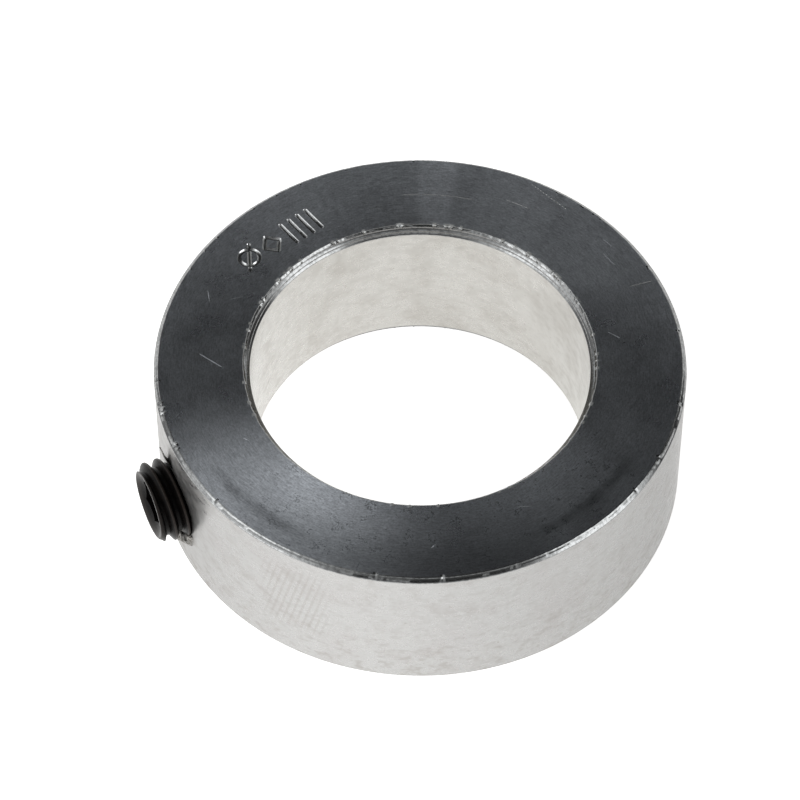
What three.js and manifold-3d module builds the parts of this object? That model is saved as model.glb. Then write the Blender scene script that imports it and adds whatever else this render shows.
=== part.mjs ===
// Set-screw shaft collar for a 32 mm shaft: a plain turned steel ring (50 x 32 x 16 mm) with one
// radial M8 hexagon-socket set screw with a cone point.
//
// Millimetres, +Z up. The origin is the centre of the bore on the plain face. +Z runs along the
// bore to the marked face, and the set screw's axis lies along -Y at half the collar's width.

import * as THREE from 'three';
import { mergeVertices } from 'three/addons/utils/BufferGeometryUtils.js';
import Module from 'manifold-3d';

// Collar ring.
const OUTER_RADIUS = 25;
const BORE_RADIUS = 16;
const WIDTH = 16;
const RIM_CHAMFER = 0.4;
const BORE_CHAMFER_RADIAL = 0.6;
const BORE_CHAMFER_DEPTH = 0.9;
const RING_SEGMENTS = 128;

// Set screw, M8 x 1.25 x 10. Its face stands proud of the rim.
const PITCH = 1.25;
const MAJOR_RADIUS = 4;
const MINOR_RADIUS = 3.233;
const CREST_FLAT = PITCH / 8;
const SCREW_LENGTH = 10;
const SCREW_PROUD = 2.7;
const FACE_CHAMFER = 0.6;
const DISH_RADIUS = 3;
const DISH_FLOOR_RADIUS = 2.05;
const DISH_DEPTH = 0.5;
const POINT_FLAT_RADIUS = 0.9;
const SOCKET_ACROSS_FLATS = 4;
const SOCKET_DEPTH = 5;
const SOCKET_DRILL_CONE = 0.9;
const SOCKET_TURN = 10;
const SCREW_SEGMENTS = 32;
const CREST_OFFSET = 0.4;

// The hole in the ring is left clear of the thread crests, so that the screw travels freely.
const THREAD_CLEARANCE = 0.3;
const HOLE_SEGMENTS = 48;

const QUARTER_TURN = Math.PI / 2;

const wasm = await Module();
wasm.setup();

const zincPlatedSteel = new THREE.MeshStandardMaterial({
  color: 0xb9bbba,
  metalness: 1,
  roughness: 0.28,
});

const blackOxideSteel = new THREE.MeshStandardMaterial({
  color: 0x2a2624,
  metalness: 0.9,
  roughness: 0.42,
});

// A closed three.js geometry as a solid. Triangles that collapse where a lathe profile meets its
// axis are dropped once the shared vertices are merged.
function toSolid(geometry) {
  const bare = geometry.clone();
  bare.deleteAttribute('normal');
  bare.deleteAttribute('uv');
  const merged = mergeVertices(bare);
  const index = merged.index.array;
  const kept = [];
  for (let i = 0; i < index.length; i += 3) {
    const [a, b, c] = [index[i], index[i + 1], index[i + 2]];
    if (a !== b && b !== c && c !== a) {
      kept.push(a, b, c);
    }
  }
  return new wasm.Manifold(new wasm.Mesh({
    numProp: 3,
    vertProperties: merged.attributes.position.array,
    triVerts: Uint32Array.from(kept),
  }));
}

function toGeometry(solid) {
  const mesh = solid.getMesh();
  const geometry = new THREE.BufferGeometry();
  geometry.setAttribute('position', new THREE.BufferAttribute(mesh.vertProperties, 3));
  geometry.setIndex(new THREE.BufferAttribute(mesh.triVerts, 1));
  return geometry;
}

// A profile of [radius, z] points turned about Z. It runs up the outside.
function turned(profile, segments) {
  const points = profile.map(([radius, z]) => new THREE.Vector2(radius, z));
  return new THREE.LatheGeometry(points, segments).rotateX(QUARTER_TURN);
}

function ringBlank() {
  const profile = [
    [BORE_RADIUS + BORE_CHAMFER_RADIAL, 0],
    [OUTER_RADIUS - RIM_CHAMFER, 0],
    [OUTER_RADIUS, RIM_CHAMFER],
    [OUTER_RADIUS, WIDTH - RIM_CHAMFER],
    [OUTER_RADIUS - RIM_CHAMFER, WIDTH],
    [BORE_RADIUS + BORE_CHAMFER_RADIAL, WIDTH],
    [BORE_RADIUS, WIDTH - BORE_CHAMFER_DEPTH],
    [BORE_RADIUS, BORE_CHAMFER_DEPTH],
    [BORE_RADIUS + BORE_CHAMFER_RADIAL, 0],
  ];
  return toSolid(turned(profile, RING_SEGMENTS));
}

// The radial hole runs through one wall of the ring only, from the bore out past the rim.
function screwHole() {
  const radius = MAJOR_RADIUS + THREAD_CLEARANCE;
  const inner = BORE_RADIUS - 2;
  const outer = OUTER_RADIUS + 2;
  const hole = new THREE.CylinderGeometry(radius, radius, outer - inner, HOLE_SEGMENTS);
  hole.translate(0, -(inner + outer) / 2, WIDTH / 2);
  return toSolid(hole);
}

// [height in the pitch, radius] of the four corners of one thread: root flat, flank, crest flat.
function threadProfile() {
  const flank = (MAJOR_RADIUS - MINOR_RADIUS) * Math.tan(Math.PI / 6);
  const rootFlat = PITCH - CREST_FLAT - 2 * flank;
  return [
    [0, MINOR_RADIUS],
    [rootFlat, MINOR_RADIUS],
    [rootFlat + flank, MAJOR_RADIUS],
    [rootFlat + flank + CREST_FLAT, MAJOR_RADIUS],
  ];
}

// A right-hand threaded rod along Z, longer than the screw at both ends. Each row of vertices
// follows the helix, so after one turn a row meets the row one pitch above it. The first and last
// turns stay at the root radius, which gives both ends a simple boundary to close with a fan.
function threadedRod() {
  const profile = threadProfile();
  const rowsPerTurn = profile.length;
  const turns = Math.ceil(SCREW_LENGTH / PITCH) + 5;
  const rows = turns * rowsPerTurn + 1;
  const zLow = CREST_OFFSET - SCREW_LENGTH - 3 * PITCH;
  const positions = [];
  for (let row = 0; row < rows; row += 1) {
    const turn = Math.floor(row / rowsPerTurn);
    const [height, profileRadius] = profile[row % rowsPerTurn];
    const plain = turn < 1 || turn >= turns - 1;
    const radius = plain ? MINOR_RADIUS : profileRadius;
    for (let step = 0; step < SCREW_SEGMENTS; step += 1) {
      const share = step / SCREW_SEGMENTS;
      const angle = 2 * Math.PI * share;
      const z = zLow + height + PITCH * (turn + share);
      positions.push(radius * Math.cos(angle), radius * Math.sin(angle), z);
    }
  }
  const at = (row, step) => (step < SCREW_SEGMENTS
    ? row * SCREW_SEGMENTS + step
    : (row + rowsPerTurn) * SCREW_SEGMENTS);
  const index = [];
  for (let row = 0; row < rows - 1; row += 1) {
    for (let step = 0; step < SCREW_SEGMENTS; step += 1) {
      const wraps = step === SCREW_SEGMENTS - 1;
      if (wraps && row + 1 + rowsPerTurn > rows - 1) {
        continue;
      }
      const [a, b] = [at(row, step), at(row, step + 1)];
      const [c, d] = [at(row + 1, step + 1), at(row + 1, step)];
      index.push(a, b, d, b, c, d);
    }
  }
  closeRodEnds(positions, index, rows, rowsPerTurn, zLow, turns);
  const geometry = new THREE.BufferGeometry();
  geometry.setAttribute('position', new THREE.Float32BufferAttribute(positions, 3));
  geometry.setIndex(index);
  return toSolid(geometry);
}

// Fans both open ends of the rod to a point on the axis, beyond the end.
function closeRodEnds(positions, index, rows, rowsPerTurn, zLow, turns) {
  const bottomLoop = [];
  const topLoop = [];
  for (let step = 0; step < SCREW_SEGMENTS; step += 1) {
    bottomLoop.push(step);
    topLoop.push((rows - 1) * SCREW_SEGMENTS + step);
  }
  for (let row = rowsPerTurn; row > 0; row -= 1) {
    bottomLoop.push(row * SCREW_SEGMENTS);
    topLoop.push((rows - 2 - rowsPerTurn + row) * SCREW_SEGMENTS + SCREW_SEGMENTS - 1);
  }
  const bottomCentre = positions.length / 3;
  positions.push(0, 0, zLow - PITCH);
  const topCentre = bottomCentre + 1;
  positions.push(0, 0, zLow + PITCH * (turns + 2));
  for (let i = 0; i < bottomLoop.length; i += 1) {
    const next = (i + 1) % bottomLoop.length;
    index.push(bottomCentre, bottomLoop[next], bottomLoop[i]);
    index.push(topCentre, topLoop[i], topLoop[next]);
  }
}

// Outer limits of the screw: chamfered and dished face at z = 0, and a cone point with a small flat
// at the other end.
function screwBlank() {
  const beyond = MAJOR_RADIUS + 0.5;
  const pointHeight = beyond - POINT_FLAT_RADIUS;
  const faceRadius = MAJOR_RADIUS - FACE_CHAMFER;
  const profile = [
    [0, -SCREW_LENGTH],
    [POINT_FLAT_RADIUS, -SCREW_LENGTH],
    [beyond, pointHeight - SCREW_LENGTH],
    [beyond, faceRadius - beyond],
    [faceRadius, 0],
    [DISH_RADIUS, 0],
    [DISH_FLOOR_RADIUS, -DISH_DEPTH],
    [0, -DISH_DEPTH],
  ];
  return toSolid(turned(profile, SCREW_SEGMENTS));
}

// Hexagon socket with the cone that its drill leaves at the bottom. Its corners are turned from the
// ring's axis by SOCKET_TURN degrees.
function hexSocket() {
  const cornerRadius = SOCKET_ACROSS_FLATS / 2 / Math.cos(Math.PI / 6);
  const mouth = 1;
  const profile = [
    [0, -SOCKET_DEPTH - SOCKET_DRILL_CONE],
    [cornerRadius, -SOCKET_DEPTH],
    [cornerRadius, mouth],
    [0, mouth],
  ];
  const socket = turned(profile, 6).rotateZ(THREE.MathUtils.degToRad(SOCKET_TURN));
  return toSolid(socket);
}

function collarRing() {
  const solid = ringBlank().subtract(screwHole());
  const mesh = new THREE.Mesh(toGeometry(solid), zincPlatedSteel);
  mesh.name = 'collar_ring';
  return mesh;
}

function setScrew() {
  const solid = threadedRod().intersect(screwBlank()).subtract(hexSocket());
  const mesh = new THREE.Mesh(toGeometry(solid), blackOxideSteel);
  mesh.name = 'set_screw';
  mesh.position.set(0, -(OUTER_RADIUS + SCREW_PROUD), WIDTH / 2);
  mesh.rotation.x = QUARTER_TURN;
  return mesh;
}

const shaftCollar = new THREE.Group();
shaftCollar.add(collarRing(), setScrew());

export default shaftCollar;
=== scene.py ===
import math
import random

import bmesh
import bpy
import numpy as np
from mathutils import Matrix, Vector

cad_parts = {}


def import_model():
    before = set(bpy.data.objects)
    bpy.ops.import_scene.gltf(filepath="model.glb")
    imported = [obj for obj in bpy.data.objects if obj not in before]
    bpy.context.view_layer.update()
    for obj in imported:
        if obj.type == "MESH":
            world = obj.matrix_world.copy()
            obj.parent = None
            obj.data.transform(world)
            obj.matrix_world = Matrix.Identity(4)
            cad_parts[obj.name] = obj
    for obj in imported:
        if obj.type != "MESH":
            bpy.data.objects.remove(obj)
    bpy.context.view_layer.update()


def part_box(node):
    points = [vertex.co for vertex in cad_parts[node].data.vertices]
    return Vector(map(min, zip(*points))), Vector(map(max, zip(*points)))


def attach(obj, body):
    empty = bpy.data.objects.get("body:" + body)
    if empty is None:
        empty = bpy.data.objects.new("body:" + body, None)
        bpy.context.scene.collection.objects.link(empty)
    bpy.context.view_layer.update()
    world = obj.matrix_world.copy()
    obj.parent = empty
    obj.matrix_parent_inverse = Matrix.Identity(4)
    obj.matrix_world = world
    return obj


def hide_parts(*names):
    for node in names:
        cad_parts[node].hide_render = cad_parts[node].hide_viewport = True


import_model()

# A turned steel shaft collar with a black set screw. It lies on its plain face on a pale surface, in
# a bright room.

MM = 0.001
TAU = 2 * math.pi

# ---------------------------------------------------------------- sizes, in millimetres

RING_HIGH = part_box("collar_ring")[1] / MM
SCREW_LOW, SCREW_HIGH = [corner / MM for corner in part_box("set_screw")]

# Collar ring. EDGE_ROUND eases each corner, and GUARD is how far from it a flat begins.
OUTER_RADIUS = round(RING_HIGH.x, 3)
WIDTH = round(RING_HIGH.z, 3)
BORE_RADIUS = 16.0
RIM_CHAMFER = 0.42
BORE_CHAMFER_RADIAL = 0.6
BORE_CHAMFER_DEPTH = 0.9
MOUTH_RADIUS = BORE_RADIUS + BORE_CHAMFER_RADIAL
EDGE_ROUND = 0.04
GUARD = 0.22
RING_SEGMENTS = 1440

# Set screw. CREST_OFFSET sets where on the helix its face is cut.
PITCH = 1.25
SCREW_AXIS_HEIGHT = WIDTH / 2
SCREW_FACE = -SCREW_LOW.y
SCREW_LENGTH = SCREW_HIGH.y - SCREW_LOW.y
CREST_RADIUS = 3.93
ROOT_RADIUS = 3.25
CREST_FLAT = 0.17
CREST_EASE = 0.05
CREST_OFFSET = 0.4
THREAD_SEGMENTS = 96
POINT_RADIUS = 0.9
DISH_FLOOR_RADIUS = 2.05
DISH_DEPTH = 0.5
SOCKET_CORNER_RADIUS = 2.309
SOCKET_DEPTH = 5
SOCKET_CONE = 0.9
SOCKET_TURN = 40

# Tapped hole, which clears the screw by THREAD_GAP all round.
THREAD_GAP = 0.06
HOLE_RADIUS = CREST_RADIUS + THREAD_GAP

# Mark on the upper face: its strokes, its size, and the middle and the direction of its base line.
MARK_DEPTH = 0.2
MARK_WIDTH = 0.42
MARK_HEIGHT = 2.6
MARK_LENGTH = 9.0
MARK_MIDDLE = (-17.49, -6.50)
MARK_DIRECTION = (-0.270, 0.963)

# Scratches and tool dents in the marked face, as (width, depth). CAP_POINTS round off a groove's end.
SCRATCH = (0.06, 0.015)
DENT = (0.10, 0.035)
CAP_POINTS = 5

# Burrs on the marked face's bore edge: direction in degrees, half-width in degrees, height.
BORE_BURRS = [(163.5, 0.8, 0.26), (152.0, 0.5, 0.14), (146.5, 0.6, 0.18), (143.0, 0.4, 0.15),
              (187.0, 0.4, 0.15), (205.0, 0.7, 0.16), (211.0, 0.5, 0.20), (222.0, 0.5, 0.22),
              (234.0, 0.4, 0.15), (118.0, 0.6, 0.18), (104.0, 0.5, 0.16)]

# ---------------------------------------------------------------- mesh helpers


def mesh_object(name, vertices, faces):
    mesh = bpy.data.meshes.new(name)
    mesh.from_pydata([tuple(v) for v in vertices], [], faces)
    mesh.update()
    piece = bpy.data.objects.new(name, mesh)
    bpy.context.scene.collection.objects.link(piece)
    return piece


def turned_mesh(name, profile, segments):
    """A closed profile of (radius, z) points turned about Z. It runs up the outside."""
    count = len(profile)
    vertices = []
    for step in range(segments):
        angle = TAU * step / segments
        cos, sin = math.cos(angle), math.sin(angle)
        vertices += [(r * cos * MM, r * sin * MM, z * MM) for r, z in profile]
    faces = []
    for step in range(segments):
        here = step * count
        there = (step + 1) % segments * count
        for i in range(count):
            j = (i + 1) % count
            faces.append((here + i, there + i, there + j, here + j))
    return mesh_object(name, vertices, faces)


def lofted_mesh(name, sections):
    """A closed skin over a row of sections, which all have the same number of points."""
    sides = len(sections[0])
    faces = []
    for level in range(len(sections) - 1):
        low, high = level * sides, (level + 1) * sides
        for k in range(sides):
            n = (k + 1) % sides
            faces.append((low + k, low + n, high + n, high + k))
    top = (len(sections) - 1) * sides
    faces += [tuple(reversed(range(sides))), tuple(range(top, top + sides))]
    vertices = [point for section in sections for point in section]
    return mesh_object(name, np.array(vertices) * MM, faces)


def weld(piece):
    """Merges the vertices that a profile has on its axis."""
    bm = bmesh.new()
    bm.from_mesh(piece.data)
    bmesh.ops.remove_doubles(bm, verts=bm.verts, dist=1e-7)
    bmesh.ops.dissolve_degenerate(bm, edges=bm.edges, dist=1e-8)
    bm.to_mesh(piece.data)
    bm.free()
    return piece


def apply_modifiers(piece):
    depsgraph = bpy.context.evaluated_depsgraph_get()
    made = bpy.data.meshes.new_from_object(piece.evaluated_get(depsgraph))
    piece.modifiers.clear()
    piece.data = made


def boolean(piece, others, operation):
    """Joins or cuts a piece with a list of closed meshes, which are used up."""
    group = bpy.data.collections.new("operands")
    bpy.context.scene.collection.children.link(group)
    for other in others:
        bpy.context.scene.collection.objects.unlink(other)
        group.objects.link(other)
    modifier = piece.modifiers.new("boolean", "BOOLEAN")
    modifier.operation = operation
    modifier.solver = "EXACT"
    modifier.operand_type = "COLLECTION"
    modifier.collection = group
    apply_modifiers(piece)
    for other in others:
        bpy.data.objects.remove(other)
    bpy.data.collections.remove(group)


def shade(piece, degrees):
    """Smooth shading, but for edges that turn by more than degrees."""
    piece.data.shade_smooth()
    piece.data.set_sharp_from_angle(angle=math.radians(degrees))
    weighted = piece.modifiers.new("weighted", "WEIGHTED_NORMAL")
    weighted.keep_sharp = True
    weighted.weight = 100
    apply_modifiers(piece)


# ---------------------------------------------------------------- threads


def thread_profile(crest, root, crest_flat):
    """(height, radius) points of one thread, its crest's edges eased."""
    flank = (crest - root) * math.tan(math.radians(30))
    root_flat = PITCH - crest_flat - 2 * flank
    rise, fall = root_flat + flank, root_flat + flank + crest_flat
    down, back, in_by = CREST_EASE * 0.87, CREST_EASE * 0.5, CREST_EASE * 0.4
    return [
        (0, root),
        (root_flat, root),
        (rise - back, crest - down),
        (rise + in_by, crest),
        (fall - in_by, crest),
        (fall + back, crest - down),
    ]


def threaded_rod(name, crest, root, crest_flat, low, high, offset):
    """A right-hand threaded rod along Z that covers low to high. Rows of vertices follow the helix,
    so that after one turn a row meets the row one pitch above it. The first and last turns stay at
    the root radius, and a fan of faces closes each end."""
    profile = thread_profile(crest, root, crest_flat)
    per_turn, segments = len(profile), THREAD_SEGMENTS
    start = offset + PITCH * (math.floor((low - offset) / PITCH) - 3)
    turns = int(math.ceil((high - start) / PITCH)) + 3
    rows = turns * per_turn + 1
    vertices = []
    for row in range(rows):
        turn, i = divmod(row, per_turn)
        height, radius = profile[i]
        if turn < 1 or turn >= turns - 1:
            radius = root
        for step in range(segments):
            share = step / segments
            angle = TAU * share
            z = start + height + PITCH * (turn + share)
            vertices.append((radius * math.cos(angle), radius * math.sin(angle), z))

    def at(row, step):
        return row * segments + step if step < segments else (row + per_turn) * segments

    faces = []
    for row in range(rows - 1):
        open_end = row + 1 + per_turn > rows - 1
        for step in range(segments - 1 if open_end else segments):
            faces.append((at(row, step), at(row, step + 1),
                          at(row + 1, step + 1), at(row + 1, step)))
    bottom = list(range(segments)) + [row * segments for row in range(per_turn, 0, -1)]
    top = [(rows - 1) * segments + step for step in range(segments)]
    top += [(rows - 2 - i) * segments + segments - 1 for i in range(per_turn)]
    vertices += [(0, 0, start - PITCH), (0, 0, start + PITCH * (turns + 2))]
    for i, here in enumerate(bottom):
        faces.append((len(vertices) - 2, bottom[(i + 1) % len(bottom)], here))
    for i, here in enumerate(top):
        faces.append((len(vertices) - 1, here, top[(i + 1) % len(top)]))
    return mesh_object(name, np.array(vertices) * MM, faces)


def to_screw_axis(piece):
    """Stands a mesh made along Z, with the screw's face at z = 0, on the screw's axis."""
    place = Matrix.Translation(Vector((0, -SCREW_FACE, SCREW_AXIS_HEIGHT)) * MM)
    piece.data.transform(place @ Matrix.Rotation(math.radians(90), 4, "X"))


# ---------------------------------------------------------------- collar ring


def chamfer_steps(start, end, lifts):
    """Points from start to end, lifted off the straight line as a form tool leaves them."""
    start = Vector(start)
    along = Vector(end) - start
    out = Vector((along.y, -along.x)).normalized()
    count = len(lifts) + 1
    return [tuple(start + along * (i + 1) / count + out * lift) for i, lift in enumerate(lifts)]


def ring_profile():
    """Runs up the outside. Each corner is eased, and a guard point beside it keeps the flats flat."""
    rim_high = WIDTH - RIM_CHAMFER
    rim_in = OUTER_RADIUS - RIM_CHAMFER
    bore_high = WIDTH - BORE_CHAMFER_DEPTH
    ease, bevel = EDGE_ROUND, EDGE_ROUND * 0.7
    outer_top = [
        (OUTER_RADIUS, rim_high - GUARD),
        (OUTER_RADIUS, rim_high - ease),
        (OUTER_RADIUS - bevel, rim_high + bevel),
        *chamfer_steps((OUTER_RADIUS, rim_high), (rim_in, WIDTH), [0.0, 0.018, -0.006]),
        (rim_in + bevel, WIDTH - bevel),
        (rim_in - ease, WIDTH),
        (rim_in - GUARD, WIDTH),
        (rim_in - GUARD * 1.8, WIDTH),
    ]
    inner_top = [
        (MOUTH_RADIUS + GUARD * 1.8, WIDTH),
        (MOUTH_RADIUS + GUARD, WIDTH),
        (MOUTH_RADIUS + ease, WIDTH),
        (MOUTH_RADIUS - bevel * 0.6, WIDTH - bevel),
        *chamfer_steps((MOUTH_RADIUS, WIDTH), (BORE_RADIUS, bore_high),
                       [0.004, 0.03, -0.022, 0.012, 0.03, -0.02, 0.004]),
        (BORE_RADIUS + bevel * 0.5, bore_high + ease),
        (BORE_RADIUS, bore_high - ease),
        (BORE_RADIUS, bore_high - GUARD),
    ]
    top = outer_top + inner_top
    bottom = [(radius, WIDTH - z) for radius, z in reversed(top)]
    return bottom[len(inner_top):] + top + bottom[:len(inner_top)]


def smooth_noise(rng, count, cells):
    """A periodic random curve of count samples with about cells bumps, from -1 to 1."""
    knots = rng.uniform(-1, 1, cells)
    where = np.arange(count) * cells / count
    low = np.floor(where).astype(int)
    share = where - low
    share = share * share * (3 - 2 * share)
    return knots[low % cells] * (1 - share) + knots[(low + 1) % cells] * share


def nicks(rng, count, number, width, depth):
    """Sparse dents round an edge: number of them, each about width samples wide."""
    curve = np.zeros(count)
    for centre in rng.integers(0, count, number):
        half = max(1.0, width * rng.uniform(0.5, 1.5))
        reach = np.arange(-int(half * 2), int(half * 2) + 1)
        dent = depth * rng.uniform(0.3, 1.0) * np.exp(-(reach / half) ** 2 * 2)
        at = (centre + reach) % count
        curve[at] = np.maximum(curve[at], dent)
    return curve


def bore_burrs(angle):
    """The height of the burrs of BORE_BURRS at each direction round the bore, in radians."""
    heights = []
    for place, half, height in BORE_BURRS:
        turned = (np.degrees(angle) - place + 180) % 360 - 180
        heights.append(height * np.exp(-(turned / half) ** 2))
    return np.max(heights, axis=0)


def roughen_edges(ring, profile):
    """Moves the eased corners of the ring in and out, so that the edges are nicked and burred."""
    rng = np.random.default_rng(32)
    points = np.empty(len(ring.data.vertices) * 3)
    ring.data.vertices.foreach_get("co", points)
    points = points.reshape(RING_SEGMENTS, len(profile), 3) / MM
    angle = TAU * np.arange(RING_SEGMENTS) / RING_SEGMENTS
    out = np.stack([np.cos(angle), np.sin(angle)], 1)
    for z_face, up in ((WIDTH, 1.0), (0.0, -1.0)):
        wave = (0.016 * smooth_noise(rng, RING_SEGMENTS, 150)
                + 0.010 * smooth_noise(rng, RING_SEGMENTS, 480))
        dents = nicks(rng, RING_SEGMENTS, number=26, width=1.6, depth=0.09)
        burrs = nicks(rng, RING_SEGMENTS, number=46, width=2.2, depth=0.13)
        if up > 0:
            burrs = np.maximum(burrs, bore_burrs(angle))
        for i, (radius, z) in enumerate(profile):
            if abs(z - z_face) >= 0.25:
                continue
            if OUTER_RADIUS - RIM_CHAMFER - 0.06 < radius < OUTER_RADIUS - 0.1:
                points[:, i, :2] -= out * (wave + dents * 0.9)[:, None]
                points[:, i, 2] -= up * dents * 0.5
            if MOUTH_RADIUS - 0.12 < radius < MOUTH_RADIUS + 0.08:
                points[:, i, :2] += out * (wave * 1.4 - burrs * 0.5)[:, None]
                points[:, i, 2] += up * burrs * 0.35
    ring.data.vertices.foreach_set("co", (points * MM).ravel())
    ring.data.update()


# ---------------------------------------------------------------- strokes in the marked face


def side_of(along):
    return Vector((-along.y, along.x))


def rounded_end(point, along, sign, half):
    """The points between the two sides of a stroke, past its end (sign 1) or its start (-1)."""
    side = side_of(along)
    turns = [math.pi * k / (CAP_POINTS + 1) for k in range(1, CAP_POINTS + 1)]
    return [point + sign * (side * half * math.cos(turn) + along * half * math.sin(turn))
            for turn in turns]


def stroke_outline(path, half):
    """Left side, rounded end, right side and rounded start of a path of (point, direction)."""
    left = [point + side_of(along) * half for point, along in path]
    right = [point - side_of(along) * half for point, along in path]
    return left + rounded_end(*path[-1], 1, half) + right[::-1] + rounded_end(*path[0], -1, half)


def stroke_lid(first, count):
    """Faces across the outline whose points start at index first, for a path of count points."""
    left = [first + i for i in range(count)]
    end = [first + count + i for i in range(CAP_POINTS)]
    right = [first + count + CAP_POINTS + i for i in range(count)][::-1]
    start = [first + 2 * count + CAP_POINTS + i for i in range(CAP_POINTS)]
    strips = [(left[i], left[i + 1], right[i + 1], right[i]) for i in range(count - 1)]
    return strips + [(left[-1], *end, right[-1]), (right[0], *start, left[0])]


def groove(points, width, depth):
    """A closed cutter for one stamped or scratched stroke along points (x, y) on the marked face.
    Its section narrows from the surface to the depth, and widens above it. Both ends are rounded."""
    above, surface_share, floor_share = 0.3, 0.5, 0.12
    flare = above / max(depth, 0.05) * (surface_share - floor_share)
    levels = [(depth, floor_share), (0.0, surface_share), (-above, surface_share + flare)]
    points = [Vector(p) for p in points]
    path = []
    for i, point in enumerate(points):
        before, after = points[max(i - 1, 0)], points[min(i + 1, len(points) - 1)]
        path.append((point, (after - before).normalized()))
    vertices = []
    for drop, share in levels:
        vertices += [(v.x, v.y, WIDTH - drop) for v in stroke_outline(path, width * share)]
    loop = len(vertices) // len(levels)
    faces = []
    for level in range(len(levels) - 1):
        low, high = level * loop, (level + 1) * loop
        for i in range(loop):
            j = (i + 1) % loop
            faces.append((low + j, low + i, high + i, high + j))
    faces += stroke_lid(0, len(points))
    faces += [face[::-1] for face in stroke_lid((len(levels) - 1) * loop, len(points))]
    return mesh_object("groove", np.array(vertices) * MM, faces)


def on_circle(radius, degrees):
    """A point (x, y) on a circle about the bore's axis, counted from +X."""
    return radius * math.cos(math.radians(degrees)), radius * math.sin(math.radians(degrees))


def arc(centre, radius, start, end, steps):
    points = []
    for step in range(steps + 1):
        x, y = on_circle(radius, start + (end - start) * step / steps)
        points.append((centre[0] + x, centre[1] + y))
    return points


def mark_strokes():
    """A generic bore mark, in its own plane: x along the line of the mark, y towards the rim.
    A diameter sign, a lozenge and four bars."""
    middle = MARK_HEIGHT / 2
    sign_x, sign_radius, sign_reach = 1.15, 0.98, 0.9
    lozenge_x, lozenge_reach, lozenge_inset = 3.85, 0.9, 0.25
    bars, first_bar, bar_step = 4, 5.9, 1.0
    strokes = [
        arc((sign_x, middle), sign_radius, 0, 180, 16),
        arc((sign_x, middle), sign_radius, 180, 360, 16),
        [(sign_x - sign_reach, 0.0), (sign_x + sign_reach, MARK_HEIGHT)],
    ]
    corners = [(lozenge_x - lozenge_reach, middle), (lozenge_x, MARK_HEIGHT - lozenge_inset),
               (lozenge_x + lozenge_reach, middle), (lozenge_x, lozenge_inset)]
    for i, corner in enumerate(corners):
        strokes.append([corner, corners[(i + 1) % len(corners)]])
    for i in range(bars):
        x = first_bar + i * bar_step
        strokes.append([(x, 0.0), (x, MARK_HEIGHT)])
    return strokes


def place_mark(point):
    """From the mark's own plane to the marked face. Its base line runs beside the bore, on the
    side towards -X."""
    along = Vector(MARK_DIRECTION)
    return Vector(MARK_MIDDLE) + along * (point[0] - MARK_LENGTH / 2) + side_of(along) * point[1]


def scratches():
    """Hairline scratches on the marked face, as (x, y) lines: a few long ones and some short ones."""
    rng = random.Random(5)
    lines = [
        [(-5.0, 21.2), (-3.4, 21.6)],
        [(-0.4, 21.9), (-0.2, 24.0)],
        [(-8.9, -18.7), (-6.7, -17.4)],
        arc((0, 0), 20.3, 161.5, 142.5, 24),
        arc((0, 0), 21.3, 133.5, 127.5, 8),
    ]
    for _ in range(9):
        angle = rng.uniform(0, TAU)
        radius = rng.uniform(17.8, 23.2)
        heading = angle + math.pi / 2 + rng.uniform(-0.9, 0.9)
        length = rng.uniform(0.4, 1.3)
        start = Vector((radius * math.cos(angle), radius * math.sin(angle)))
        end = start + Vector((math.cos(heading), math.sin(heading))) * length
        if 17.6 < end.length < 23.8:
            lines.append([tuple(start), tuple(end)])
    return lines


def chatter_dots():
    """A dotted line of small tool dents, which runs in from the rim."""
    start, end = Vector(on_circle(24.1, 129.9)), Vector(on_circle(23.2, 118.9))
    count, dot_share = 13, 0.12
    along = (end - start) / count
    return [[tuple(start + along * i), tuple(start + along * (i + dot_share))] for i in range(count)]


# ---------------------------------------------------------------- torn metal at the mouth of the hole


def beside_hole(radius, turn, out):
    """A point at that radius and angle about the hole's axis, out above the rim."""
    x, z = radius * math.cos(turn), radius * math.sin(turn)
    rim = math.sqrt(OUTER_RADIUS ** 2 - x * x)
    return x, -(rim + out), SCREW_AXIS_HEIGHT + z


def mouth_burr():
    """The ragged lump that the tap left at the lower edge of its hole, as an arched band on the rim."""
    rng = np.random.default_rng(8)
    count, first, sweep = 110, -92, 60
    lump_height, lump_spread, wavy, ragged = 0.72, 1.15, 0.14, 0.16
    inner, sunk = HOLE_RADIUS - 0.25, -0.3
    coarse, fine = smooth_noise(rng, count, 9), smooth_noise(rng, count, 42)
    sections = []
    for i in range(count):
        share = i / (count - 1)
        turn = math.radians(first + sweep * share)
        swell = math.sin(math.pi * share) ** 0.5
        height = swell * (lump_height + wavy * coarse[i] + ragged * fine[i]) + 0.02
        spread = swell * (lump_spread + wavy * coarse[i] + ragged * fine[i]) + 0.05
        section = ((inner, sunk), (HOLE_RADIUS + spread + 0.1, sunk), (HOLE_RADIUS + spread, 0.02),
                   (HOLE_RADIUS + spread * 0.6, height * 0.7), (HOLE_RADIUS + spread * 0.35, height),
                   (inner, height * 0.8))
        sections.append([beside_hole(radius, turn, out) for radius, out in section])
    return lofted_mesh("burr", sections)


def mouth_sliver():
    """A torn flake that stands up the wall from the upper edge of the tapped hole. Its spine is a
    row of (centre, half-width)."""
    spine = [((-0.7, -24.75, 11.6), 0.85), ((-0.8, -25.1, 12.3), 0.80), ((-1.0, -25.35, 12.9), 0.60),
             ((-1.3, -25.5, 13.5), 0.33), ((-1.6, -25.62, 14.05), 0.07)]
    sections = []
    for (x, y, z), half in spine:
        thick = 0.05 + 0.08 * half
        sections.append([(x - half, y, z), (x, y - thick, z + 0.02),
                         (x + half * 0.8, y, z), (x, y + thick, z - 0.02)])
    return lofted_mesh("sliver", sections)


# ---------------------------------------------------------------- the two pieces


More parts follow.
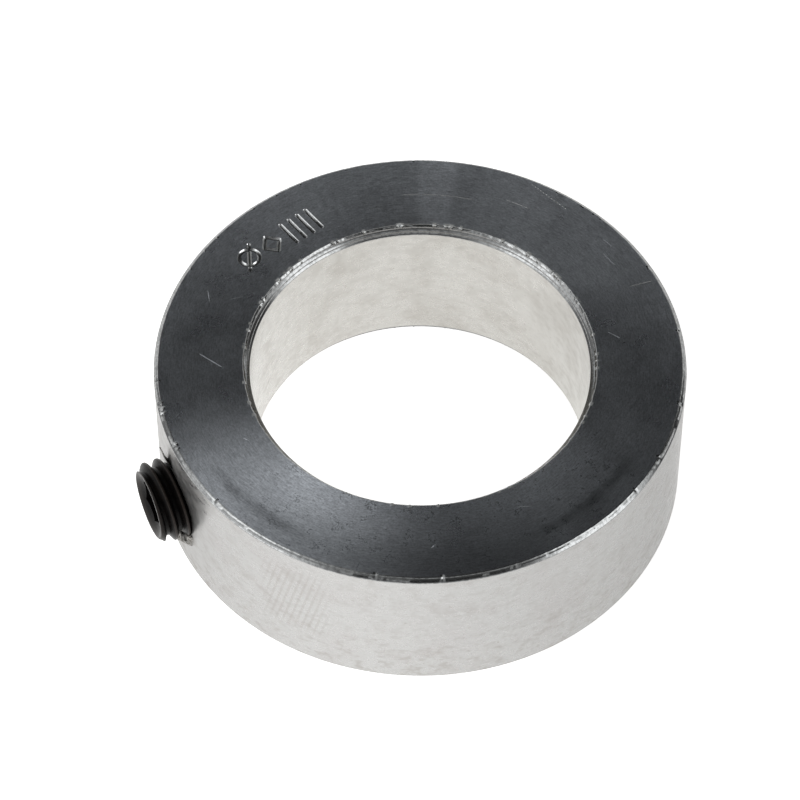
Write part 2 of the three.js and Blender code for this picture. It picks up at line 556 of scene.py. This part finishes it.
def collar_ring():
    profile = ring_profile()
    ring = turned_mesh("collar_ring_body", profile, RING_SEGMENTS)
    roughen_edges(ring, profile)
    boolean(ring, [mouth_burr(), mouth_sliver()], "UNION")
    past_wall = 2
    tap = threaded_rod("tap", HOLE_RADIUS, ROOT_RADIUS + THREAD_GAP, CREST_FLAT + THREAD_GAP * 0.8,
                       low=BORE_RADIUS - SCREW_FACE - past_wall, high=past_wall,
                       offset=CREST_OFFSET - THREAD_GAP * 0.4)
    to_screw_axis(tap)
    cutters = []
    for stroke in mark_strokes():
        cutters.append(groove([place_mark(p) for p in stroke], MARK_WIDTH, MARK_DEPTH))
    cutters += [groove(line, *SCRATCH) for line in scratches()]
    cutters += [groove(dot, *DENT) for dot in chatter_dots()]
    boolean(ring, [tap], "DIFFERENCE")
    boolean(ring, cutters, "DIFFERENCE")
    return ring


def set_screw():
    screw = threaded_rod("set_screw_body", CREST_RADIUS, ROOT_RADIUS, CREST_FLAT,
                         low=-SCREW_LENGTH, high=0, offset=CREST_OFFSET)
    limit = CREST_RADIUS + 0.5
    point = [(0, -SCREW_LENGTH), (POINT_RADIUS - 0.05, -SCREW_LENGTH),
             (POINT_RADIUS + 0.05, -SCREW_LENGTH + 0.05), (limit, limit - POINT_RADIUS - SCREW_LENGTH)]
    face = [(limit, -1.2), (3.48, -0.14), (3.42, -0.05), (3.33, 0), (3.12, 0), (3.02, -0.03)]
    dish = [(DISH_FLOOR_RADIUS, -DISH_DEPTH), (0, -DISH_DEPTH)]
    blank = weld(turned_mesh("blank", point + face + dish, THREAD_SEGMENTS))
    boolean(screw, [blank], "INTERSECT")
    mouth = 1
    socket_profile = [(0, -(SOCKET_DEPTH + SOCKET_CONE)), (SOCKET_CORNER_RADIUS, -SOCKET_DEPTH),
                      (SOCKET_CORNER_RADIUS, mouth), (0, mouth)]
    socket = weld(turned_mesh("socket", socket_profile, 6))
    socket.data.transform(Matrix.Rotation(math.radians(SOCKET_TURN), 4, "Z"))
    boolean(screw, [socket], "DIFFERENCE")
    to_screw_axis(screw)
    shade(screw, 25)
    return screw


# ---------------------------------------------------------------- node helpers


class Graph:
    """A material's or world's node tree, with short ways to add to it."""

    def __init__(self, tree):
        self.nodes, self.links = tree.nodes, tree.links

    def add(self, kind, inputs=(), **settings):
        node = self.nodes.new(kind)
        for name, value in settings.items():
            setattr(node, name, value)
        for name, value in dict(inputs).items():
            self.feed(node.inputs[name], value)
        return node

    def feed(self, socket, value):
        if isinstance(value, bpy.types.NodeSocket):
            self.links.new(value, socket)
        else:
            socket.default_value = value

    def math(self, operation, a, b=0.0):
        node = self.add("ShaderNodeMath", operation=operation)
        self.feed(node.inputs[0], a)
        self.feed(node.inputs[1], b)
        return node.outputs[0]

    def times(self, a, b):
        return self.math("MULTIPLY", a, b)

    def plus(self, a, b):
        return self.math("ADD", a, b)

    def minus(self, a, b):
        return self.math("SUBTRACT", a, b)

    def larger(self, a, b):
        return self.math("MAXIMUM", a, b)

    def size(self, a):
        return self.math("ABSOLUTE", a)

    def vector(self, operation, a, b=(0, 0, 0), scale=1.0):
        node = self.add("ShaderNodeVectorMath", operation=operation)
        self.feed(node.inputs[0], a)
        if operation != "SCALE":
            self.feed(node.inputs[1], b)
        else:
            self.feed(node.inputs["Scale"], scale)
        return node.outputs["Value" if operation in ("LENGTH", "DOT_PRODUCT") else "Vector"]

    def split(self, vector):
        return self.add("ShaderNodeSeparateXYZ", {"Vector": vector}).outputs

    def join(self, x, y, z):
        return self.add("ShaderNodeCombineXYZ", {"X": x, "Y": y, "Z": z}).outputs[0]

    def remap(self, value, low, high, to_low=0.0, to_high=1.0):
        """An eased step from to_low at low to to_high at high, level beyond both."""
        node = self.add("ShaderNodeMapRange", {
            "Value": value, "From Min": low, "From Max": high, "To Min": to_low, "To Max": to_high,
        }, interpolation_type="SMOOTHSTEP")
        return node.outputs[0]

    def noise(self, vector, scale, detail, roughness):
        node = self.add("ShaderNodeTexNoise", {
            "Vector": vector, "Scale": scale, "Detail": detail, "Roughness": roughness})
        return node.outputs["Fac"]

    def noise_along(self, distance, scale, detail, roughness):
        node = self.add("ShaderNodeTexNoise", {
            "W": distance, "Scale": scale, "Detail": detail, "Roughness": roughness},
            noise_dimensions="1D")
        return node.outputs["Fac"]

    def mix_colour(self, factor, a, b):
        node = self.add("ShaderNodeMix", data_type="RGBA")
        self.feed(node.inputs[0], factor)
        self.feed(node.inputs[6], a)
        self.feed(node.inputs[7], b)
        return node.outputs[2]


def material(name):
    made = bpy.data.materials.new(name)
    made.use_nodes = True
    graph = Graph(made.node_tree)
    return made, graph, graph.nodes["Principled BSDF"]


# ---------------------------------------------------------------- materials


def object_mm(graph):
    """The place on the piece in millimetres, which turns and travels with it."""
    place = graph.add("ShaderNodeTexCoord").outputs["Object"]
    return graph.vector("SCALE", place, scale=1 / MM)


# How far the feed marks tilt a flat face's reflections outwards, and how that grows with radius.
FACE_LEAN = 0.115
FACE_BOW = 0.007
FACE_MIDDLE_RADIUS = 20.5


def tilted_normal(graph, tilt):
    normal = graph.add("ShaderNodeNewGeometry").outputs["Normal"]
    return graph.vector("NORMALIZE", graph.vector("ADD", normal, tilt))


def hairlines(graph, place, across, spacing, length, share):
    """Fine scratches that run at right angles to a direction: 1 on a scratch, 0 elsewhere."""
    across = Vector(across).normalized()
    along = across.orthogonal().normalized()
    third = across.cross(along)
    parts = []
    for axis, scale in ((across, 1 / spacing), (along, 1 / length), (third, 1 / length)):
        parts.append(graph.times(graph.vector("DOT_PRODUCT", place, tuple(axis)), scale))
    pattern = graph.noise(graph.join(*parts), 1.0, 1.0, 0.5)
    return graph.remap(pattern, 1 - share, 1 - share + 0.06)


def turned_face():
    """The two flat faces: concentric feed marks that all lean outwards, faint smudges, hairlines, and a
    tone that changes from place to place, with painted light in it: a painted lighter and darker stretch
    on the side towards the camera, a painted highlight band and painted glint specks."""
    made, graph, shader = material("turned_face")
    place = object_mm(graph)
    x, y = graph.split(place)[:2]
    flat = graph.join(x, y, 0.0)
    radius = graph.vector("LENGTH", flat)
    outward = graph.vector("NORMALIZE", flat)
    round_x, round_y = graph.split(outward)[:2]

    def concentric(around, outwards, detail):
        streaks = graph.join(graph.times(round_x, around), graph.times(round_y, around),
                             graph.times(radius, outwards))
        return graph.noise(streaks, 1.0, detail, 0.65)

    def facing(degrees, full, none):
        """1 within full degrees of that heading from the bore's axis, and 0 beyond none degrees."""
        heading = (math.cos(math.radians(degrees)), math.sin(math.radians(degrees)), 0)
        return graph.remap(graph.vector("DOT_PRODUCT", outward, heading),
                           math.cos(math.radians(none)), math.cos(math.radians(full)))

    def near_radius(middle, reach):
        """1 on the circle of that radius, and 0 beyond reach of it."""
        return graph.remap(graph.size(graph.minus(radius, middle)), reach, 0.0)

    fine = concentric(34.0, 11.0, 3.0)
    long_lines = concentric(5.0, 5.0, 4.0)
    patch = graph.noise(place, 0.16, 4.0, 0.6)
    mottle = graph.noise(place, 0.8, 5.0, 0.65)
    grain = graph.noise(place, 5.0, 3.0, 0.7)
    bow = graph.times(graph.minus(radius, FACE_MIDDLE_RADIUS), FACE_BOW)
    lean = graph.plus(bow, FACE_LEAN)
    for pattern, amount in ((fine, 0.16), (long_lines, 0.10), (patch, 0.07)):
        lean = graph.plus(lean, graph.times(graph.minus(pattern, 0.5), amount))
    leaning = tilted_normal(graph, graph.vector("SCALE", outward, scale=lean))
    nicked = hairlines(graph, place, (0.9, 0.4, 0), 0.10, 2.6, 0.27)
    nicked = graph.larger(nicked, hairlines(graph, place, (-0.35, 0.9, 0), 0.09, 2.0, 0.27))
    nicked = graph.larger(nicked, hairlines(graph, place, (0.7, -0.75, 0), 0.08, 1.4, 0.26))
    bump = graph.add("ShaderNodeBump", {"Strength": 0.12, "Distance": 0.00001, "Height": nicked,
                                        "Normal": leaning})
    graph.feed(shader.inputs["Normal"], bump.outputs[0])
    smudge = graph.remap(patch, 0.42, 0.72)
    colour = graph.mix_colour(graph.times(smudge, 0.3), (0.464, 0.479, 0.512, 1),
                              (0.40, 0.42, 0.44, 1))
    # Painted glints: pale specks, only in the sector about 105 degrees, standing in for scratches that
    # catch the light there.
    bright = graph.times(graph.remap(graph.noise(place, 4.0, 3.0, 0.7), 0.60, 0.72), facing(105, 45, 70))
    colour = graph.mix_colour(graph.times(nicked, 0.15), colour, (0.75, 0.76, 0.78, 1))
    colour = graph.mix_colour(graph.times(bright, 0.35), colour, (0.85, 0.87, 0.90, 1))

    # Painted light: on the side about -15.5 degrees, towards the camera, the face is painted up to 1.55
    # times lighter near the bore and down to 0.74 times as light near the rim, in place of a reflection
    # there.
    near = facing(-15.5, 42, 64)
    tone_shift = graph.remap(radius, 17.0, 24.0, 1.55, 0.74)
    tone = graph.plus(1.0, graph.times(near, graph.minus(tone_shift, 1.0)))
    # Darker, mottled arcs near radius 22.5 in two sectors, about -65 and 21 degrees.
    dark_arcs = graph.times(near_radius(22.6, 1.1), facing(-65, 8, 18))
    dark_arcs = graph.larger(dark_arcs, graph.times(near_radius(22.4, 1.0), facing(21, 9, 20)))
    dark_arcs = graph.times(dark_arcs, graph.remap(mottle, 0.35, 0.6, 0.5, 1.0))
    contour = graph.size(graph.minus(graph.noise(place, 1.3, 3.0, 0.7), 0.5))
    dashes = graph.times(graph.remap(contour, 0.035, 0.010), graph.remap(mottle, 0.53, 0.60))
    dashes = graph.times(dashes, graph.plus(graph.times(near, 0.8), 0.2))
    # The band about 152.5 degrees is a painted highlight: the face is made 1.3 times lighter there.
    painted_highlight_band, dark_sector = facing(152.5, 0, 6.5), facing(137, 25, 62)
    tones = [
        (grain, 0.32, 0.68, 0.87, 1.13),
        (fine, 0.30, 0.70, 0.82, 1.16),
        (mottle, 0.35, 0.65, 0.95, 1.05),
        (dark_arcs, 0.0, 1.0, 1.0, 0.60),
        (dashes, 0.0, 1.0, 1.0, 0.50),
        (painted_highlight_band, 0.0, 1.0, 1.0, 1.3),
        (dark_sector, 0.0, 1.0, 1.0, 0.78),
    ]
    for pattern, low, high, tone_at_low, tone_at_high in tones:
        tone = graph.times(tone, graph.remap(pattern, low, high, tone_at_low, tone_at_high))
    graph.feed(shader.inputs["Base Color"], graph.vector("SCALE", colour, scale=tone))
    graph.feed(shader.inputs["Roughness"], graph.remap(patch, 0.3, 0.75, 0.27, 0.34))
    shader.inputs["Metallic"].default_value = 1
    shader.inputs["Anisotropic"].default_value = 0.85
    shader.inputs["Anisotropic Rotation"].default_value = 0.25
    tangent = graph.add("ShaderNodeTangent", direction_type="RADIAL", axis="Z").outputs[0]
    graph.feed(shader.inputs["Tangent"], tangent)
    return made


def chatter_stripes(graph, place, z):
    """Faint stripes that the tool left on one patch of the rim: 1 in a stripe, 0 elsewhere."""
    middle, slant, spacing = math.radians(309), 0.257, 0.65
    outward = (math.cos(middle), math.sin(middle), 0)
    around = (-math.sin(middle), math.cos(middle), 0)
    arc_length = graph.vector("DOT_PRODUCT", place, around)
    slanted = graph.minus(arc_length, graph.times(z, slant))
    wave = graph.math("SINE", graph.times(slanted, TAU / spacing))
    patch = graph.remap(graph.size(arc_length), 4.4, 2.0)
    patch = graph.times(patch, graph.remap(graph.size(graph.minus(z, 9.0)), 6.0, 3.0))
    patch = graph.times(patch, graph.remap(graph.vector("DOT_PRODUCT", place, outward), 19.0, 21.0))
    return graph.times(patch, graph.remap(wave, -0.2, 0.9))


def turned_wall(name, tint, stain_share, edge_tint, chatter):
    """The rim or the bore: fine lines round it, faint clouding, hairlines and small dark stains. The
    tint is a light, a shaded and a stained colour."""
    made, graph, shader = material(name)
    place = object_mm(graph)
    x, y, z = graph.split(place)[:3]
    fine = graph.noise_along(z, 5.0, 6.0, 0.7)
    cloud = graph.noise(place, 0.20, 4.0, 0.55)
    stretched = graph.join(x, y, graph.times(z, 1.8))
    smudge = graph.noise(place, 0.42, 5.0, 0.6)
    mottle = graph.noise(stretched, 0.9, 5.0, 0.62)
    specks = graph.noise(stretched, 2.4, 3.0, 0.6)
    flow = graph.noise(graph.join(x, y, graph.times(z, 0.18)), 1.1, 3.0, 0.6)
    lean = graph.times(graph.minus(fine, 0.5), 0.10)
    lean = graph.plus(lean, graph.times(graph.minus(mottle, 0.5), 0.10))
    tilted = tilted_normal(graph, graph.join(0.0, 0.0, lean))
    lines = hairlines(graph, place, (0.5, 0.3, 0.8), 0.12, 3.0, 0.29)
    lines = graph.larger(lines, hairlines(graph, place, (-0.6, 0.5, 0.6), 0.10, 2.2, 0.28))
    bump = graph.add("ShaderNodeBump", {"Strength": 0.10, "Distance": 0.00001, "Height": lines,
                                        "Normal": tilted})
    graph.feed(shader.inputs["Normal"], bump.outputs[0])
    light, shaded, stained = tint
    colour = graph.mix_colour(graph.remap(cloud, 0.4, 0.7), light, shaded)
    colour = graph.mix_colour(graph.times(graph.remap(flow, 0.52, 0.72), 0.35), colour, shaded)
    low_edge = graph.remap(z, 9.0, 1.0, 0.35, 0.85)
    colour = graph.mix_colour(graph.times(graph.remap(smudge, 0.5, 0.68), 0.22), colour, stained)
    stains = graph.times(graph.remap(mottle, 0.50, 0.66), low_edge)
    colour = graph.mix_colour(graph.times(stains, stain_share), colour, stained)
    colour = graph.mix_colour(graph.times(graph.remap(specks, 0.62, 0.72), 0.55), colour, stained)
    colour = graph.mix_colour(graph.times(lines, 0.45), colour, shaded)
    if chatter:
        stripes = chatter_stripes(graph, place, z)
        colour = graph.mix_colour(graph.times(stripes, 0.28), colour, stained)
    graph.feed(shader.inputs["Base Color"], colour)
    from_screw = graph.vector("LENGTH", graph.join(x, graph.minus(z, SCREW_AXIS_HEIGHT), 0.0))
    rough = graph.remap(mottle, 0.3, 0.7, 0.24, 0.36)
    rough_by_hole = graph.remap(from_screw, 9.0, 4.5, 0.0, 0.08)
    graph.feed(shader.inputs["Roughness"], graph.plus(rough, rough_by_hole))
    shader.inputs["Specular Tint"].default_value = (edge_tint, edge_tint, edge_tint, 1)
    shader.inputs["Metallic"].default_value = 1
    return made


def cut_steel(name, clean, dull, roughness, grain, edge_tint):
    """Cut, torn or stamped steel with fine mottling between two colours."""
    made, graph, shader = material(name)
    place = object_mm(graph)
    speck = graph.noise(place, grain, 3.0, 0.6)
    shader.inputs["Specular Tint"].default_value = (edge_tint, edge_tint, edge_tint, 1)
    graph.feed(shader.inputs["Base Color"], graph.mix_colour(graph.remap(speck, 0.42, 0.62), clean, dull))
    graph.feed(shader.inputs["Roughness"], graph.remap(speck, 0.3, 0.7, roughness, roughness + 0.12))
    shader.inputs["Metallic"].default_value = 1
    return made


def black_oxide():
    """Satin brown-black, lighter where the face and the crests have been handled."""
    made, graph, shader = material("black_oxide")
    place = object_mm(graph)
    x, y, z = graph.split(place)[:3]
    cloud = graph.noise(place, 0.9, 4.0, 0.6)
    speck = graph.noise(place, 5.0, 3.0, 0.6)
    height = graph.minus(z, SCREW_AXIS_HEIGHT)
    off_axis = graph.vector("LENGTH", graph.join(x, height, 0.0))
    crest = graph.remap(off_axis, CREST_RADIUS - 0.09, CREST_RADIUS - 0.01)
    face = graph.remap(y, -SCREW_FACE + 0.35, -SCREW_FACE + 0.05)
    tone_shift = graph.larger(crest, graph.times(face, 0.45))
    colour = graph.mix_colour(graph.remap(cloud, 0.35, 0.7), (0.0035, 0.003, 0.003, 1),
                              (0.008, 0.0065, 0.006, 1))
    tone_shift = graph.times(tone_shift, graph.remap(speck, 0.25, 0.7, 0.6, 1.0))
    colour = graph.mix_colour(tone_shift, colour, (0.034, 0.026, 0.022, 1))
    graph.feed(shader.inputs["Base Color"], colour)
    graph.feed(shader.inputs["Specular IOR Level"], graph.remap(tone_shift, 0.0, 1.0, 0.05, 0.12))
    graph.feed(shader.inputs["Roughness"], graph.remap(speck, 0.3, 0.7, 0.26, 0.38))
    bump = graph.add("ShaderNodeBump", {"Strength": 0.3, "Distance": 0.00002, "Height": speck})
    graph.feed(shader.inputs["Normal"], bump.outputs[0])
    shader.inputs["Metallic"].default_value = 0
    return made


# The ring's materials. CUT covers the chamfers, the thread and the screw hole.
FACE, RIM, BORE, CUT, STAMPED, TORN, BURR = range(7)


def ring_materials():
    """The materials in the order of their indices."""
    rim_tint = ((0.48, 0.476, 0.47, 1), (0.465, 0.455, 0.45, 1), (0.33, 0.305, 0.285, 1))
    bore_tint = ((0.56, 0.55, 0.525, 1), (0.50, 0.487, 0.46, 1), (0.39, 0.365, 0.335, 1))
    return [
        turned_face(),
        turned_wall("turned_rim", rim_tint, stain_share=0.55, edge_tint=0.7, chatter=True),
        turned_wall("bore_wall", bore_tint, stain_share=0.35, edge_tint=1.0, chatter=False),
        cut_steel("chamfer", (0.33, 0.33, 0.33, 1), (0.23, 0.23, 0.23, 1), 0.10, 3.0, 0.7),
        cut_steel("stamped", (0.66, 0.66, 0.66, 1), (0.50, 0.50, 0.50, 1), 0.12, 3.0, 1.0),
        cut_steel("torn", (0.30, 0.29, 0.275, 1), (0.08, 0.073, 0.066, 1), 0.34, 5.0, 1.0),
        cut_steel("burr", (0.66, 0.66, 0.65, 1), (0.50, 0.50, 0.49, 1), 0.45, 3.0, 1.0),
    ]


def ring_look(centre, normal):
    """The index of a facet's material, from its place in millimetres and the way it faces."""
    radius = math.hypot(centre.x, centre.y)
    level = abs(normal.z)
    from_face = min(abs(centre.z), abs(centre.z - WIDTH))
    if level > 0.5 and from_face < 0.004:
        return FACE
    if level < 0.05 and abs(radius - OUTER_RADIUS) < 0.02:
        return RIM
    if level < 0.05 and radius < BORE_RADIUS + 0.02:
        return BORE
    if radius > OUTER_RADIUS + 0.01:
        return TORN
    if centre.z > WIDTH - 0.3 and MOUTH_RADIUS + 0.3 < radius < OUTER_RADIUS - 0.6:
        return BURR if centre.z > WIDTH - 0.03 else STAMPED
    if centre.z > WIDTH - 0.06 and abs(radius - MOUTH_RADIUS) < 0.16:
        return BURR
    return CUT


def assign_ring_materials(ring):
    ring.data.materials.clear()
    for made in ring_materials():
        ring.data.materials.append(made)
    for facet in ring.data.polygons:
        facet.material_index = ring_look(facet.center / MM, facet.normal)


# ---------------------------------------------------------------- stage, light and camera

# The camera's azimuth and elevation in degrees, and its distance in metres from the point that it
# aims at. AIM_LEFT and AIM_UP are that point's place from the ring's middle as the camera sees it.
CAMERA_AZIMUTH = 66.9
CAMERA_ELEVATION = 53.1
CAMERA_DISTANCE = 0.400
CAMERA_LENS = 188.9
CAMERA_SENSOR = 36
AIM_LEFT = 1.887
AIM_UP = 1.163

FLOOR_REACH = 2.0

# A dim panel and a darker stretch of the room, which the flat faces mirror to the camera. Their
# headings are degrees from the right, about the direction that the middle of the view mirrors.
PANEL_FROM, PANEL_TO = -156, -88
PANEL_LIGHT = 0.6
DARKER_HEADING = 68
DARKER_SHARE = 0.58
SCREEN_LIGHT = 1.3
ROOM_LIGHT = 1.24


def level_direction(degrees_left):
    """A horizontal direction, turned to the left from the one in which the camera looks."""
    turn = math.radians(CAMERA_AZIMUTH + 90 + degrees_left)
    return Vector((math.cos(turn), math.sin(turn), 0))


def floor():
    """A pale surface that glows with painted light, more on the left than on the right."""
    reach = FLOOR_REACH
    corners = [(-reach, -reach, 0), (reach, -reach, 0), (reach, reach, 0), (-reach, reach, 0)]
    plane = mesh_object("floor", corners, [(0, 1, 2, 3)])
    made, graph, shader = material("floor")
    shader.inputs["Base Color"].default_value = (0.85, 0.85, 0.84, 1)
    shader.inputs["Roughness"].default_value = 1
    shader.inputs["Emission Color"].default_value = (1.0, 0.995, 0.985, 1)
    # Painted light: the floor's glow falls from 1.05 on the left to 0.82 on the right, so the rim mirrors
    # more light on its left.
    across = graph.vector("DOT_PRODUCT", object_mm(graph), tuple(level_direction(-90)))
    graph.feed(shader.inputs["Emission Strength"], graph.remap(across, -12.0, 22.0, 1.05, 0.82))
    plane.data.materials.append(made)


def world():
    """A pale room that darkens upwards. A dark window faces the collar on the camera's side, between
    two bright screens, and a large dim panel hangs up on the left."""
    made = bpy.data.worlds.new("studio")
    bpy.context.scene.world = made
    made.use_nodes = True
    graph = Graph(made.node_tree)
    direction = graph.add("ShaderNodeTexCoord").outputs["Generated"]
    height = graph.split(direction)[2]
    right = graph.vector("DOT_PRODUCT", direction, tuple(level_direction(-90)))
    away = graph.vector("DOT_PRODUCT", direction, tuple(level_direction(0)))
    level = graph.vector("NORMALIZE", graph.join(right, away, 0.0))

    def towards(degrees):
        """1 straight towards that heading, in degrees from the right by way of the far side, and -1
        away from it."""
        turn = math.radians(degrees)
        return graph.vector("DOT_PRODUCT", level, (math.cos(turn), math.sin(turn), 0))

    def band(value, low, rise, fall, high):
        """1 from rise to fall, and 0 below low and above high."""
        return graph.times(graph.remap(value, low, rise), graph.remap(value, high, fall))

    ramp = graph.add("ShaderNodeValToRGB", {"Fac": height})
    stops = [(0.0, 0.99), (0.3, 0.99), (0.52, 0.891), (0.64, 0.1188), (0.78, 0.05445)]
    while len(ramp.color_ramp.elements) < len(stops):
        ramp.color_ramp.elements.new(0.5)
    for element, (place, grey) in zip(ramp.color_ramp.elements, stops):
        element.position = place
        element.color = (grey, grey, grey, 1)
    room = graph.add("ShaderNodeSeparateColor", {"Color": ramp.outputs["Color"]}).outputs["Green"]

    window = graph.times(graph.remap(towards(-85), 0.66, 0.92), band(height, 0.06, 0.14, 0.45, 0.60))
    far = graph.times(graph.remap(away, 0.2, 0.7), graph.remap(height, 0.2, 0.45))
    right_gap = graph.times(graph.remap(towards(18), 0.93, 0.985), band(height, 0.0, 0.06, 0.3, 0.36))
    left_gap = graph.times(graph.remap(towards(160), 0.93, 0.99), band(height, 0.0, 0.06, 0.2, 0.28))
    light = room
    for dark, amount in ((window, 0.96), (far, 0.8), (right_gap, 0.95), (left_gap, 0.75)):
        light = graph.times(light, graph.minus(1.0, graph.times(dark, amount)))

    right_screen = graph.times(graph.remap(towards(-25), 0.93, 0.97), band(height, 0.0, 0.05, 0.5, 0.6))
    left_screen = graph.times(graph.remap(towards(-156), 0.93, 0.97), band(height, 0.3, 0.4, 0.5, 0.6))
    light = graph.plus(light, graph.times(right_screen, SCREEN_LIGHT))
    light = graph.plus(light, graph.times(left_screen, SCREEN_LIGHT))

    aside = graph.minus(away, math.cos(math.radians(CAMERA_ELEVATION)))
    heading = graph.vector("NORMALIZE", graph.join(right, aside, 0.0))
    first, last = math.radians(PANEL_FROM), math.radians(PANEL_TO)
    past_first = graph.vector("DOT_PRODUCT", heading, (-math.sin(first), math.cos(first), 0))
    before_last = graph.vector("DOT_PRODUCT", heading, (math.sin(last), -math.cos(last), 0))
    distance = graph.vector("LENGTH", graph.join(right, aside, 0.0))
    panel = graph.times(graph.remap(past_first, -0.02, 0.10), graph.remap(before_last, 0.0, 0.7))
    panel = graph.times(panel, graph.remap(height, 0.55, 0.68))
    panel = graph.times(panel, graph.remap(distance, 0.05, 0.3))
    light = graph.plus(light, graph.times(panel, PANEL_LIGHT))

    turn = math.radians(DARKER_HEADING)
    darker = graph.vector("DOT_PRODUCT", heading, (math.cos(turn), math.sin(turn), 0))
    darker = graph.times(graph.remap(darker, 0.6, 0.9), graph.remap(height, 0.5, 0.62))
    light = graph.times(light, graph.minus(1.0, graph.times(darker, DARKER_SHARE)))
    light = graph.times(light, ROOM_LIGHT)
    colour = graph.join(graph.times(light, 0.97), graph.times(light, 0.995), light)
    graph.feed(graph.nodes["Background"].inputs["Color"], colour)


def camera():
    azimuth, elevation = math.radians(CAMERA_AZIMUTH), math.radians(CAMERA_ELEVATION)
    back = Vector((math.sin(azimuth) * math.cos(elevation),
                   -math.cos(azimuth) * math.cos(elevation),
                   math.sin(elevation)))
    data = bpy.data.cameras.new("camera")
    data.lens = CAMERA_LENS
    data.sensor_width = CAMERA_SENSOR
    data.clip_start, data.clip_end = 0.01, 10
    seen = bpy.data.objects.new("camera", data)
    bpy.context.scene.collection.objects.link(seen)
    seen.rotation_mode = "QUATERNION"
    seen.rotation_quaternion = (-back).to_track_quat("-Z", "Y")
    across = seen.rotation_quaternion @ Vector((1, 0, 0))
    up = seen.rotation_quaternion @ Vector((0, 1, 0))
    aim = (Vector((0, 0, WIDTH / 2)) - across * AIM_LEFT + up * AIM_UP) * MM
    seen.location = aim + back * CAMERA_DISTANCE
    bpy.context.scene.camera = seen


# ---------------------------------------------------------------- build

ring = collar_ring()
assign_ring_materials(ring)
shade(ring, 15)
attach(ring, "collar")
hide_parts("collar_ring")

screw = set_screw()
screw.data.materials.append(black_oxide())
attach(screw, "set_screw")
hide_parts("set_screw")

floor()
world()
camera()
bpy.context.scene.view_settings.view_transform = "Standard"
